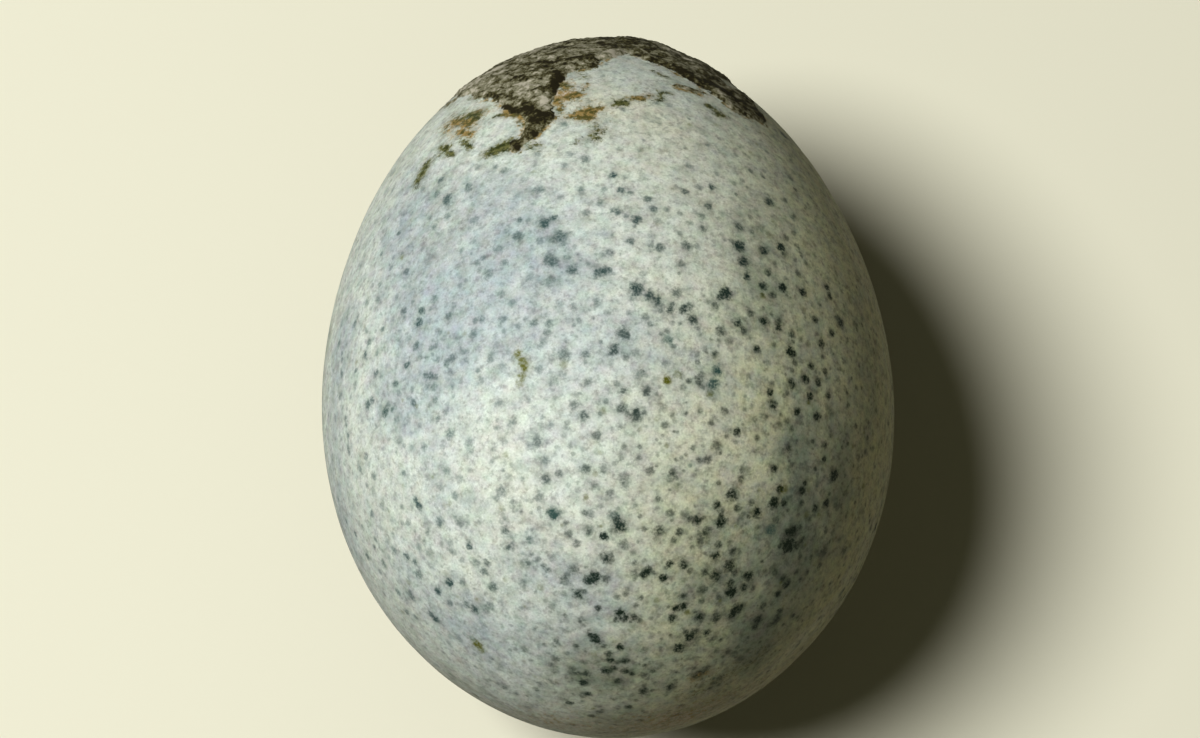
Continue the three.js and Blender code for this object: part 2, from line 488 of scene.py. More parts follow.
OLIVE_STAINS = (
    (492, 150, 514, 148, 8, 0.35), (618, 100, 650, 98, 10, 0.3), (427, 164, 417, 184, 8, 0.8),
    (508, 142, 536, 146, 8, 0.7), (452, 116, 480, 113, 12, 0.35), (445, 150, 458, 140, 9, 0.3),
    (562, 86, 600, 118, 14, 0.15),
    (469, 116, 479, 113, 6.5, 0.9), (465, 142, 470, 148, 5, 1.1), (440, 147, 448, 148, 5, 0.8),
    (449, 154, 454, 155, 4, 1.1), (436, 157, 447, 151, 6, 0.4), (488, 154, 500, 149, 8, 0.9),
    (495, 117, 500, 115, 4, 0.8), (472, 123, 478, 119, 4, 0.6), (617, 104, 624, 103, 5, 1.1),
    (661, 92, 661, 100, 4, 0.9), (668, 93, 671, 93, 4, 0.6), (709, 106, 713, 108, 5, 1.1),
    (717, 114, 724, 116, 5, 1.1), (575, 72, 584, 77, 8, 0.5), (593, 134, 599, 138, 5, 0.6),
    (596, 126, 603, 130, 6, 0.5), (574, 143, 591, 138, 6.5, 0.45), (655, 72, 666, 77, 5, 0.7),
    (565, 84, 571, 87, 4, 0.8), (470, 98, 478, 99, 5, 0.5), (438, 107, 452, 105, 5, 0.5),
    (690, 694, 765, 650, 16, 0.4),
)
PALE_STAINS = (
    (554, 94, 566, 93, 5, 1.1), (478, 108, 492, 112, 6.5, 0.4), (569, 82, 580, 86, 6.5, 0.4),
    (672, 718, 800, 655, 40, 0.36), (560, 722, 680, 720, 34, 0.35),
    (440, 680, 540, 722, 30, 0.25),
)
# Bluer clouds: a bluer tint on the upper left, and painted shade in the strips near the left rim.
BLUE_CLOUDS_AND_RIM_SHADE = (
    (470, 280, 500, 240, 80, 0.5), (525, 240, 560, 260, 50, 0.5), (400, 410, 380, 400, 35, 0.5),
    (540, 560, 600, 590, 35, 0.5), (440, 510, 460, 510, 25, 0.35), (550, 440, 540, 450, 25, 0.3),
    (405, 190, 405, 330, 45, 0.5), (345, 340, 350, 540, 35, 0.6), (360, 250, 340, 340, 30, 0.3),
    (470, 620, 590, 640, 40, 0.4), (700, 370, 640, 340, 35, 0.35), (410, 580, 480, 650, 40, 0.4),
    (430, 200, 500, 190, 35, 0.4), (480, 340, 580, 350, 60, 0.5), (440, 350, 430, 440, 45, 0.4),
    (400, 230, 450, 290, 40, 0.35),
)
# Darker clouds: darker pigment in places, and painted shade along the left rim, over the right flank and at
# the bottom.
DARK_CLOUDS_AND_SHADE = (
    (720, 530, 790, 570, 50, 0.38), (590, 670, 640, 680, 40, 0.6), (820, 440, 830, 540, 45, 0.35),
    (700, 620, 760, 620, 45, 0.4), (610, 722, 720, 705, 32, 0.55), (730, 660, 790, 620, 35, 0.4),
    (330, 330, 340, 540, 18, 0.4), (430, 660, 520, 710, 30, 0.2), (860, 330, 870, 420, 30, 0.3),
    (795, 450, 796, 560, 22, 0.7), (755, 225, 762, 310, 32, 0.5), (800, 320, 800, 430, 40, 0.3),
    (560, 690, 620, 660, 30, 0.25), (740, 575, 700, 590, 22, 0.3), (783, 528, 792, 552, 24, 0.8),
    (437, 185, 437, 250, 22, 0.25), (748, 625, 755, 665, 20, 0.5), (845, 440, 842, 500, 20, 0.5),
)
# Cream clouds: paler patches, and thin strips along the right, lower and left rims that paint bounce light.
CREAM_CLOUDS_AND_RIM_LIGHT = (
    (660, 380, 720, 460, 45, 0.5), (650, 160, 720, 210, 50, 0.4), (645, 290, 680, 310, 35, 0.4),
    (500, 430, 520, 540, 40, 0.3),
    (600, 100, 680, 130, 30, 0.8), (560, 540, 590, 560, 25, 0.5), (740, 130, 770, 150, 20, 0.5),
    (832, 205, 866, 290, 14, 0.6), (872, 530, 800, 640, 13, 0.6), (800, 640, 730, 696, 12, 0.5),
    (300, 300, 345, 320, 14, 0.5),
)


FACING_EDGE = (-0.05, 0.25)
FIELD_LIMIT = 1.5
INSIDE_LIMIT = 4
TONE_NOISE, TONE_CELL = 0.6, 2.2
DRIFT_SHARE = 0.7


def stroke_field(points, strokes):
    """Sum over the strokes of strength * exp(-(distance / half width) squared), kept within the limit."""
    total = np.zeros(len(points))
    for first_x, first_y, last_x, last_y, half_width, strength in strokes:
        start, end = seen_on_shell([(first_x, first_y), (last_x, last_y)])
        total += strength * hump(distance_to_stroke(points, start, end), half_width * MM_PER_PIXEL)
    return np.clip(total, -FIELD_LIMIT, FIELD_LIMIT)


def facing_camera(points):
    """1 where the shell is seen by the camera, 0 where it is hidden, smooth between."""
    return smooth_step(*FACING_EDGE, shell_normal(points) @ undipped(VIEW_BACK))


def drifting(points, seed):
    """Random clouds for the hidden side, where none are drawn: a share of a noise kept from 0 to 1."""
    drift = value_noise(points, 9.0, seed) + 0.6 * value_noise(points, 4.0, seed + 1)
    return DRIFT_SHARE * np.clip(drift, 0, 1) * (1 - facing_camera(points))


def inkiness(points):
    """0 on the bluer upper left, 1 on the +X side and the blunt end, where the spots are near black."""
    return smooth_step(-4, 14, 0.8 * points[:, 0] - 0.5 * points[:, 1])


# Olive tint, partly the shell's own and partly painted shade on the flank away from the key light.
def olive_tint_and_shade(points):
    """0 over most of the shell, rising to 1 at the +X flank and at the blunt end, where the tint is partly
    painted shade.
    """
    x, y = points[:, 0], points[:, 1]
    return smooth_step(2.5, 15, 0.9 * x - 0.4 * np.minimum(y, 0) - 0.1 * np.maximum(y, 0))


add_attribute("crust_inside", "FLOAT", "POINT", np.clip(crust_inside, -INSIDE_LIMIT, INSIDE_LIMIT))
drawn_tone = stroke_field(smooth_points, SOIL_TONES)
soil_tone = drawn_tone + TONE_NOISE * value_noise(smooth_points, TONE_CELL, 51)
add_attribute("soil_tone", "FLOAT", "POINT", soil_tone)
stain_sets = (OCHRE_STAINS, OLIVE_STAINS, PALE_STAINS)
stain_fields = [stroke_field(smooth_points, strokes) for strokes in stain_sets]
add_attribute("stain", "FLOAT_VECTOR", "POINT", np.stack(stain_fields, axis=1))
# The three clouds hold tints and also painted shade and painted bounce light near the rims.
cloud_and_light_sets = ((BLUE_CLOUDS_AND_RIM_SHADE, 61), (DARK_CLOUDS_AND_SHADE, 63), (CREAM_CLOUDS_AND_RIM_LIGHT, 65))
clouds_and_painted_light = []
for strokes, seed in cloud_and_light_sets:
    clouds_and_painted_light.append(stroke_field(smooth_points, strokes) + drifting(smooth_points, seed))
add_attribute("clouds_and_painted_light", "FLOAT_VECTOR", "POINT", np.stack(clouds_and_painted_light, axis=1))
add_attribute("olive_tint_and_shade", "FLOAT", "POINT", olive_tint_and_shade(smooth_points))
print("Mean clouds, blue, dark and cream:", [round(float(cloud.mean()), 3) for cloud in clouds_and_painted_light])

# %% [markdown]
# Spots. The hen lays down the slate pigment as drops, so each spot is a small soft-edged
# blot, and they gather and darken towards one side of the blunt half. Those that the
# picture shows are listed where they are seen, as (x, y, radius in picture points,
# darkness in tenths). Thousands of faint ones between them, and all those on the hidden
# side, are strewn at random. The mesh is too coarse to draw a spot 0.3 mm wide with its
# points, so each face only remembers its nearest spots, and the material measures the
# distance to them. That keeps every spot sharp at any size of picture.

# %% Spots listed one by one, upper half
MARKS_UPPER_MIDDLE = (
    (538, 154, 4, 5), (570, 154, 4, 5), (585, 159, 5, 6), (565, 165, 3, 4), (613, 175, 4, 9),
    (625, 177, 3, 4), (495, 167, 3, 5), (504, 170, 4, 5), (538, 190, 5, 6), (580, 189, 3, 5),
    (582, 192, 4, 4), (604, 189, 3, 5), (621, 190, 4, 8), (631, 193, 3, 6), (560, 197, 3, 4),
    (600, 203, 4, 5), (587, 213, 4, 5), (616, 211, 5, 7), (636, 220, 5, 8), (639, 218, 3, 6),
    (520, 220, 3, 7), (528, 220, 3, 5), (545, 224, 5, 9), (543, 221, 3, 7), (554, 218, 4, 8),
    (518, 236, 6, 7), (560, 237, 6, 8), (565, 235, 3, 6), (540, 240, 4, 5), (631, 241, 4, 7),
    (610, 253, 4, 6), (498, 249, 5, 5), (504, 262, 4, 5), (483, 258, 3, 5), (548, 261, 5, 6),
    (554, 262, 5, 7), (549, 255, 4, 5), (550, 281, 6, 5), (572, 270, 5, 8), (567, 258, 4, 5),
    (604, 271, 4, 9), (609, 270, 3, 8), (598, 273, 4, 8), (488, 274, 5, 6), (530, 277, 5, 4),
    (637, 289, 6, 9), (634, 285, 4, 6), (502, 294, 4, 5), (642, 274, 3, 4), (564, 124, 4, 6),
)
MARKS_UPPER_RIGHT = (
    (689, 166, 4, 5), (717, 174, 3, 5), (751, 171, 3, 6), (763, 176, 3, 6), (742, 180, 3, 4),
    (791, 178, 4, 6), (685, 192, 4, 7), (699, 187, 4, 5), (712, 187, 4, 8), (648, 199, 4, 7),
    (654, 209, 4, 7), (667, 210, 3, 5), (708, 207, 4, 7), (702, 216, 4, 6), (703, 229, 4, 7),
    (722, 214, 3, 3), (750, 217, 3, 4), (769, 202, 5, 9), (739, 227, 5, 7), (752, 232, 3, 5),
    (786, 238, 4, 6), (687, 246, 5, 7), (697, 246, 3, 4), (660, 248, 5, 7), (732, 241, 3, 4),
    (739, 246, 6, 10), (764, 251, 5, 9), (781, 247, 5, 10), (783, 253, 3, 6), (743, 262, 6, 9),
    (681, 264, 4, 5), (747, 277, 4, 9), (768, 273, 4, 7), (763, 286, 5, 8), (783, 288, 5, 10),
    (803, 292, 5, 10), (773, 295, 4, 7), (726, 293, 6, 10), (720, 297, 4, 8), (677, 293, 5, 6),
    (827, 287, 4, 8), (830, 296, 4, 8), (798, 274, 4, 6), (806, 263, 3, 5), (796, 190, 3, 6),
)
MARKS_RIGHT = (
    (650, 296, 5, 8), (657, 300, 4, 8), (660, 308, 5, 5), (670, 310, 4, 8), (672, 304, 3, 6),
    (684, 310, 5, 8), (690, 306, 4, 6), (693, 319, 5, 8), (716, 306, 4, 6), (751, 313, 4, 7),
    (738, 323, 5, 8), (721, 331, 5, 7), (744, 331, 4, 7), (729, 342, 4, 5), (764, 321, 5, 9),
    (779, 328, 4, 9), (780, 320, 3, 6), (792, 334, 4, 7), (815, 320, 4, 8), (832, 333, 4, 9),
    (841, 323, 5, 8), (821, 344, 5, 8), (715, 354, 4, 7), (757, 349, 4, 9), (791, 352, 6, 10),
    (774, 345, 3, 5), (666, 363, 4, 4), (701, 375, 4, 6), (698, 381, 4, 6), (702, 386, 4, 5),
    (689, 381, 3, 7), (682, 377, 3, 4), (646, 390, 5, 5), (749, 376, 3, 4), (795, 363, 3, 6),
    (811, 366, 4, 8), (805, 379, 5, 9), (792, 384, 5, 8), (818, 382, 4, 8), (825, 372, 4, 7),
    (787, 393, 3, 6), (770, 392, 4, 9), (773, 405, 5, 8), (797, 412, 4, 9), (810, 396, 4, 9),
    (828, 396, 4, 8), (817, 417, 5, 9), (724, 411, 4, 6), (700, 411, 3, 5), (663, 408, 4, 4),
    (665, 425, 4, 5), (711, 423, 3, 6), (755, 419, 3, 4), (780, 424, 3, 5), (791, 429, 3, 5),
    (856, 426, 3, 6), (848, 405, 3, 6),
)
MARKS_MIDDLE = (
    (512, 303, 4, 5), (573, 307, 4, 5), (597, 304, 3, 5), (607, 313, 3, 4), (503, 319, 4, 5),
    (534, 323, 4, 6), (518, 326, 3, 5), (549, 323, 4, 6), (482, 320, 3, 5), (547, 333, 4, 6),
    (541, 346, 3, 4), (623, 333, 6, 7), (626, 336, 4, 6), (645, 317, 4, 5), (650, 324, 3, 5),
    (613, 350, 5, 8), (617, 346, 3, 6), (564, 354, 6, 6), (586, 354, 4, 6), (492, 355, 4, 4),
    (491, 360, 3, 5), (502, 366, 4, 4), (551, 359, 4, 4), (539, 369, 4, 5), (554, 381, 5, 5),
    (587, 382, 4, 6), (624, 391, 3, 7), (617, 384, 3, 5), (646, 392, 4, 6), (576, 395, 3, 4),
    (574, 405, 5, 6), (584, 416, 5, 7), (600, 414, 3, 5), (622, 408, 5, 7), (636, 412, 4, 8),
    (636, 418, 5, 7), (627, 414, 3, 5), (644, 413, 3, 6), (513, 420, 4, 5), (620, 426, 4, 4),
    (497, 428, 3, 4), (597, 435, 5, 6), (564, 435, 3, 4),
)

# %% Spots listed one by one, left side
MARKS_LEFT = (
    (441, 180, 4, 7), (423, 190, 3, 5), (437, 194, 4, 6), (468, 186, 4, 6), (470, 189, 3, 5),
    (447, 198, 5, 8), (447, 202, 4, 7), (447, 216, 4, 5), (430, 217, 3, 4), (434, 227, 4, 5),
    (474, 220, 5, 5), (399, 233, 3, 7), (382, 253, 3, 6), (391, 268, 3, 5), (406, 272, 4, 6),
    (427, 260, 6, 3), (477, 263, 4, 5), (373, 285, 3, 4), (380, 285, 3, 5), (378, 299, 4, 5),
    (367, 303, 4, 5), (397, 297, 3, 4), (413, 302, 3, 5), (435, 299, 4, 5), (404, 311, 4, 7),
    (422, 311, 4, 8), (419, 323, 5, 9), (449, 316, 4, 6), (454, 305, 3, 4), (358, 316, 3, 5),
    (355, 324, 4, 6), (347, 317, 3, 4), (383, 329, 3, 6), (339, 343, 4, 5), (369, 342, 4, 6),
    (473, 334, 4, 6), (475, 321, 3, 5), (440, 332, 3, 5), (457, 337, 3, 4), (410, 338, 3, 4),
    (416, 346, 4, 7), (435, 346, 3, 5), (431, 348, 3, 5), (462, 351, 4, 5), (365, 355, 4, 8),
    (377, 353, 3, 5), (342, 354, 3, 5), (342, 360, 3, 5), (452, 358, 4, 6), (447, 362, 4, 6),
    (437, 360, 3, 5), (407, 365, 4, 8), (356, 370, 3, 6), (376, 374, 4, 7), (342, 374, 3, 6),
    (426, 375, 4, 6), (431, 376, 4, 7), (436, 377, 3, 6), (451, 373, 4, 5), (395, 384, 4, 7),
    (340, 395, 4, 5), (372, 400, 4, 7), (368, 405, 4, 8), (413, 403, 4, 7), (345, 418, 3, 5),
    (346, 425, 3, 5), (348, 436, 3, 6), (445, 412, 4, 4), (438, 419, 3, 6), (450, 434, 5, 6),
)
MARKS_LOWER_LEFT = (
    (424, 447, 4, 5), (348, 447, 3, 6), (349, 453, 3, 6), (366, 457, 4, 6), (360, 469, 4, 5),
    (404, 473, 3, 6), (374, 476, 4, 6), (367, 485, 3, 5), (447, 472, 4, 5), (459, 478, 4, 4),
    (440, 487, 4, 4), (455, 496, 4, 5), (416, 500, 3, 8), (419, 506, 4, 9), (440, 522, 5, 6),
    (460, 523, 5, 5), (372, 514, 4, 6), (382, 507, 4, 4), (402, 507, 3, 4), (346, 521, 3, 6),
    (338, 499, 3, 5), (362, 527, 3, 5), (355, 534, 3, 7), (375, 539, 3, 6), (374, 547, 3, 6),
    (387, 541, 4, 4), (394, 550, 4, 6), (389, 557, 3, 4), (450, 543, 4, 4), (453, 552, 4, 4),
    (469, 546, 4, 8), (419, 547, 4, 4), (367, 556, 4, 7), (405, 555, 3, 7), (408, 557, 3, 7),
    (415, 562, 4, 7), (384, 564, 4, 6), (462, 560, 3, 4), (477, 563, 4, 5), (487, 563, 4, 6),
    (484, 571, 4, 6), (419, 574, 5, 6), (380, 572, 3, 5), (450, 583, 5, 9), (462, 582, 4, 5),
    (438, 591, 4, 9), (493, 587, 5, 7), (411, 592, 3, 5), (412, 597, 4, 6), (398, 592, 4, 5),
    (384, 593, 3, 4), (450, 603, 4, 6), (466, 604, 4, 6), (475, 609, 5, 8), (490, 606, 5, 5),
    (407, 612, 4, 6), (431, 614, 4, 8), (436, 619, 4, 10), (416, 617, 3, 5),
)

# %% Spots listed one by one, lower half
MARKS_LOWER_MIDDLE = (
    (504, 441, 4, 4), (538, 443, 5, 6), (536, 437, 4, 4), (529, 447, 4, 4), (624, 447, 3, 5),
    (545, 460, 4, 5), (586, 469, 5, 7), (559, 473, 4, 6), (546, 479, 5, 7), (604, 469, 5, 5),
    (650, 471, 4, 6), (623, 478, 5, 5), (625, 485, 4, 4), (615, 463, 3, 4), (594, 486, 4, 5),
    (610, 492, 4, 5), (501, 491, 5, 6), (509, 476, 4, 3), (539, 497, 5, 5), (513, 504, 4, 5),
    (515, 510, 3, 4), (658, 499, 3, 6), (585, 513, 3, 7), (590, 514, 4, 4), (566, 523, 3, 6),
    (618, 521, 5, 8), (621, 527, 5, 9), (613, 531, 4, 5), (670, 513, 4, 6), (645, 529, 3, 6),
    (505, 531, 4, 7), (588, 529, 5, 5), (589, 533, 3, 5), (569, 534, 4, 6), (604, 536, 4, 10),
    (659, 531, 5, 7), (512, 546, 5, 5), (508, 548, 3, 6), (577, 544, 4, 6), (624, 545, 5, 5),
    (552, 557, 4, 4), (607, 558, 6, 8), (529, 563, 3, 5), (574, 569, 5, 6), (634, 573, 5, 5),
    (647, 571, 5, 8), (644, 575, 4, 8), (564, 580, 5, 6), (594, 577, 6, 9), (589, 580, 5, 8),
    (606, 579, 4, 6), (531, 554, 3, 5), (538, 559, 3, 5), (544, 566, 3, 6), (548, 570, 3, 6),
)
MARKS_LOWER_RIGHT = (
    (737, 432, 4, 8), (757, 438, 3, 6), (717, 445, 5, 6), (699, 460, 3, 6), (788, 448, 4, 7),
    (824, 445, 4, 7), (824, 459, 3, 9), (834, 475, 6, 10), (673, 473, 4, 7), (694, 475, 3, 4),
    (742, 470, 3, 6), (741, 479, 4, 6), (774, 468, 4, 8), (780, 489, 4, 9), (802, 491, 4, 9),
    (805, 483, 3, 8), (732, 495, 6, 8), (717, 505, 4, 8), (737, 508, 4, 7), (757, 513, 5, 9),
    (774, 503, 6, 9), (784, 503, 4, 8), (815, 508, 4, 8), (826, 503, 5, 9), (684, 515, 4, 5),
    (697, 520, 5, 8), (721, 522, 6, 9), (721, 515, 3, 7), (680, 532, 4, 7), (707, 532, 5, 7),
    (700, 541, 4, 6), (692, 547, 3, 5), (674, 540, 3, 6), (776, 520, 4, 5), (787, 533, 4, 8),
    (793, 531, 6, 9), (788, 545, 8, 10), (802, 540, 4, 7), (800, 528, 3, 7), (719, 545, 4, 7),
    (715, 556, 5, 8), (730, 542, 3, 5), (733, 552, 4, 7), (670, 564, 4, 8), (684, 565, 5, 8),
    (690, 571, 3, 6), (730, 566, 6, 8), (735, 573, 4, 6), (705, 572, 4, 7), (716, 576, 6, 8),
    (748, 576, 5, 9), (663, 578, 4, 10), (731, 583, 4, 8), (731, 592, 6, 10), (744, 587, 4, 8),
    (753, 588, 3, 6), (703, 590, 5, 6), (702, 601, 3, 6), (715, 590, 3, 4), (778, 594, 4, 9),
    (787, 584, 5, 9), (683, 596, 4, 7), (676, 608, 4, 9), (684, 606, 4, 9), (672, 618, 4, 8),
    (700, 617, 5, 8), (716, 618, 5, 7), (736, 610, 6, 9), (732, 615, 4, 8), (741, 606, 3, 8),
    (758, 620, 5, 9), (755, 627, 4, 7), (707, 633, 4, 8), (690, 637, 5, 9), (824, 551, 5, 6),
    (819, 566, 4, 6), (844, 550, 5, 6), (807, 573, 3, 6), (775, 572, 4, 6), (797, 572, 3, 6),
    (765, 571, 3, 5), (858, 457, 4, 5), (865, 452, 3, 5), (777, 620, 5, 7), (780, 611, 4, 7),
    (763, 606, 4, 6), (783, 578, 4, 7), (800, 557, 3, 6), (797, 546, 4, 7), (811, 557, 3, 6),
)
MARKS_BOTTOM = (
    (578, 594, 5, 8), (584, 592, 3, 6), (620, 613, 5, 9), (616, 620, 3, 7), (625, 618, 4, 8),
    (634, 617, 4, 7), (640, 621, 3, 6), (598, 608, 3, 8), (617, 597, 3, 5), (641, 598, 3, 6),
    (594, 637, 5, 9), (597, 641, 4, 9), (590, 635, 3, 7), (620, 647, 4, 9), (604, 646, 3, 6),
    (576, 646, 3, 6), (556, 641, 3, 6), (609, 654, 4, 7), (610, 660, 4, 8), (607, 671, 5, 9),
    (614, 668, 3, 8), (618, 662, 3, 6), (625, 661, 4, 8), (625, 671, 4, 8), (632, 674, 3, 8),
    (618, 681, 4, 8), (584, 683, 5, 9), (578, 674, 4, 6), (586, 674, 4, 7), (572, 673, 4, 5),
    (588, 694, 4, 8), (570, 703, 4, 8), (629, 707, 4, 8), (600, 712, 4, 7), (592, 716, 4, 7),
    (644, 691, 5, 8), (671, 687, 5, 8), (679, 648, 6, 9), (686, 632, 3, 7), (700, 674, 6, 8),
    (707, 668, 4, 6), (694, 678, 4, 6), (740, 660, 5, 5), (728, 652, 3, 6), (713, 683, 3, 7),
    (679, 714, 4, 7), (556, 659, 4, 6), (551, 665, 3, 5), (567, 653, 3, 4), (583, 625, 3, 4),
    (573, 725, 4, 6), (653, 671, 3, 6), (645, 650, 4, 4),
)

# %% Spots of other hues
TEAL_MARKS = (
    (385, 412, 5, 8), (392, 410, 3, 6), (388, 405, 4, 4), (552, 513, 5, 10), (554, 516, 4, 10),
    (669, 340, 4, 7), (717, 370, 5, 9), (714, 384, 6, 8), (639, 375, 4, 5), (614, 516, 5, 6),
    (771, 530, 6, 7), (469, 443, 5, 4), (400, 441, 5, 3), (430, 553, 5, 4), (530, 540, 4, 6),
)
OLIVE_MARKS = (
    (518, 354, 4, 8), (522, 361, 4, 8), (524, 367, 4, 9), (522, 376, 4, 7), (520, 383, 4, 5),
    (426, 167, 5, 8), (422, 174, 5, 9), (418, 181, 4, 8), (667, 380, 4, 10), (678, 374, 4, 4),
    (402, 258, 3, 5), (657, 600, 3, 4), (477, 644, 5, 9), (481, 650, 4, 6),
)
TEAL, SLATE, INK, OLIVE = -1.0, 0.0, 1.0, 2.0
INKY_GAIN = 0.07
MARK_SETS = (
    (MARKS_UPPER_MIDDLE, SLATE), (MARKS_UPPER_RIGHT, SLATE), (MARKS_RIGHT, SLATE), (MARKS_MIDDLE, SLATE),
    (MARKS_LEFT, SLATE), (MARKS_LOWER_LEFT, SLATE), (MARKS_LOWER_MIDDLE, SLATE), (MARKS_LOWER_RIGHT, SLATE),
    (MARKS_BOTTOM, SLATE), (TEAL_MARKS, TEAL), (OLIVE_MARKS, OLIVE),
)


def hand_spots(marks, hue):
    """Marks seen in the picture as (places, radii in mm, strengths, hues), a little stronger where inky."""
    x, y, radius, tenths = np.array(marks, float).T
    places = seen_on_shell(np.stack([x, y], axis=1))
    hues = inkiness(places) * INK if hue == SLATE else np.full(len(marks), hue)
    return places, radius * MM_PER_PIXEL, tenths / 10 * (1 + INKY_GAIN * inkiness(places)), hues


# %% Spots strewn at random
SPOT_SEED = 7
SPOT_TRIES = 15000
STRONG_SHARE = 0.13
WEAK_RADIUS, STRONG_RADIUS = 0.13, 0.29
WEAK_SPREAD, STRONG_SPREAD = 0.4, 0.28
LEAST_RADIUS, LARGEST_RADIUS = 0.08, 0.46
WEAK_STRENGTHS, STRONG_STRENGTHS = (0.15, 0.7), (0.7, 1.6)
LEAST_STRENGTH = 0.05
FULL_RADIUS = 0.15
LEAST_GAP = 0.06
HUE_SHARES = (0.86, 0.07, 0.07)


def spot_density(points):
    """Share of tries kept: few near the pointed end, most in the blunt half, with drifting patches."""
    along = points[:, 1] / HALF_LENGTH
    rise = 0.25 + 0.5 * smooth_step(0.8, -0.7, along)
    patches = 0.2 * value_noise(points, 7.0, 41) + 0.14 * value_noise(points, 3.0, 42)
    return np.clip(rise + patches, 0.05, 1)


def spot_darkness(points):
    """From 0 to 1: paler on the -X side, darker on the +X side of the blunt half, with patches."""
    side = smooth_step(-16, 17, points[:, 0])
    blunt = smooth_step(10, -16, points[:, 1])
    return np.clip(0.5 + 0.2 * side + 0.45 * side * blunt + 0.2 * value_noise(points, 6.0, 43), 0, 1)


def strewn_spots(taken_places, taken_radii):
    """Weak spots all over but not on those listed one by one, and strong ones on the hidden side.

    Radius = the usual one * exp(spread * a normal number). Spots under the full radius are paler.
    """
    random = np.random.default_rng(SPOT_SEED)
    fine_along = np.cos(polar_table)
    area = np.concatenate([[0], np.cumsum(np.diff(arc_table) * section_radius(fine_along[1:]))])
    polar = np.interp(random.uniform(0, area[-1], SPOT_TRIES), area, polar_table)
    places = shell_point(np.cos(polar), random.uniform(-np.pi, np.pi, SPOT_TRIES))
    strong = random.uniform(0, 1, SPOT_TRIES) < STRONG_SHARE
    kept = random.uniform(0, 1, SPOT_TRIES) < spot_density(places)
    kept &= ~strong | (random.uniform(0, 1, SPOT_TRIES) > facing_camera(places))
    gap = np.linalg.norm(places[:, None] - taken_places, axis=2) - taken_radii
    kept &= gap.min(axis=1) > LEAST_GAP
    places, strong = places[kept], strong[kept]
    spread = random.standard_normal(len(places))
    strong_radii = STRONG_RADIUS * np.exp(STRONG_SPREAD * spread)
    radii = np.where(strong, strong_radii, WEAK_RADIUS * np.exp(WEAK_SPREAD * spread))
    strong_strength = random.uniform(*STRONG_STRENGTHS, len(places))
    strength = np.where(strong, strong_strength, random.uniform(*WEAK_STRENGTHS, len(places)))
    odd = random.choice([SLATE, OLIVE, TEAL], len(places), p=HUE_SHARES)
    hues = np.where(odd == SLATE, inkiness(places) * INK, odd)
    strength *= spot_darkness(places) * np.clip(radii / FULL_RADIUS, 0, 1)
    return places, np.clip(radii, LEAST_RADIUS, LARGEST_RADIUS), np.clip(strength, LEAST_STRENGTH, 1), hues


def joined(sets):
    """Several (places, radii, strengths, hues) as one."""
    return tuple(np.concatenate(column) for column in zip(*sets))


set_by_hand = joined([hand_spots(marks, hue) for marks, hue in MARK_SETS])
strewn = strewn_spots(set_by_hand[0], set_by_hand[1])
spot_places, spot_radii, spot_strengths, spot_hues = joined([set_by_hand, strewn])
print("Spots set by hand:", len(set_by_hand[0]), "strewn:", len(strewn[0]))

# %% The nearest spots of every face
NEAREST = 4
CHUNK = 2000
SEARCH_REACH = 2.5
LEAST_SEARCHED = 40


def nearest_spots(centres):
    """For each face centre, the indices of the spots whose rims are nearest, in NEAREST columns.

    Faces come ring by ring, so a chunk of them only needs the spots at about the same place along the axis.
    """
    found = []
    for start in range(0, len(centres), CHUNK):
        part = centres[start : start + CHUNK]
        apart = np.abs(spot_places[:, 1] - part[:, 1].mean()) - np.ptp(part[:, 1]) / 2
        count = max(int((apart < SEARCH_REACH).sum()), LEAST_SEARCHED)
        near = np.argsort(apart)[:count]
        squared = (part**2).sum(1)[:, None] + (spot_places[near] ** 2).sum(1) - 2 * part @ spot_places[near].T
        rim = np.sqrt(np.clip(squared, 0, None)) - spot_radii[near]
        picked = np.argpartition(rim, NEAREST, axis=1)[:, :NEAREST]
        order = np.take_along_axis(rim, picked, axis=1).argsort(axis=1)
        found.append(near[np.take_along_axis(picked, order, axis=1)])
    return np.concatenate(found)


face_centres = np.concatenate([smooth_points[quads].mean(axis=1), smooth_points[fans].mean(axis=1)])
nearest = nearest_spots(face_centres)
frame_spots = laid_down(spot_places) / MM
spot_looks = np.stack([spot_radii, spot_strengths, spot_hues], axis=1)
for rank in range(NEAREST):
    add_attribute(f"spot_place_{rank}", "FLOAT_VECTOR", "FACE", frame_spots[nearest[:, rank]])
    add_attribute(f"spot_look_{rank}", "FLOAT_VECTOR", "FACE", spot_looks[nearest[:, rank]])

# %% [markdown]
# The finish. A real shell is chalky and matte, and its colour changes from place to place:
# a pale grey-green base with a mottled grain in three sizes, bluer and darker clouds, and
# an olive flank. Painted light is mixed into these colours: the blue and dark clouds also
# paint shade near the left rim, on the right flank and at the bottom, thin cream strips
# paint bounce light along the rims, and the olive flank's tint and bruises are partly
# painted shade. A painted image could hold all that, but it would blur close by. Nodes that
# read the object's own coordinates in mm stay sharp, and nothing slides when the camera
# moves. Spots are soft discs whose rims are made uneven by noise. The crust mixes black,
# brown, grey and pale grains, and its stains fade out over the shell.

# %% Node helpers
material = bpy.data.materials.new("egg_finish")
material.use_nodes = True
tree = material.node_tree
tree.nodes.clear()


def plug(socket, value):
    """Links a socket, or sets the number or colour on it."""
    if isinstance(value, bpy.types.NodeSocket):
        tree.links.new(value, socket)
    else:
        socket.default_value = value


def add(kind, inputs=(), **settings):
    """A node with its settings and its inputs given as (name or index, value)."""
    node = tree.nodes.new(kind)
    for name, value in settings.items():
        setattr(node, name, value)
    for name, value in inputs:
        plug(node.inputs[name], value)
    return node


def calc(operation, *values):
    """One step of arithmetic."""
    return add("ShaderNodeMath", enumerate(values), operation=operation).outputs[0]


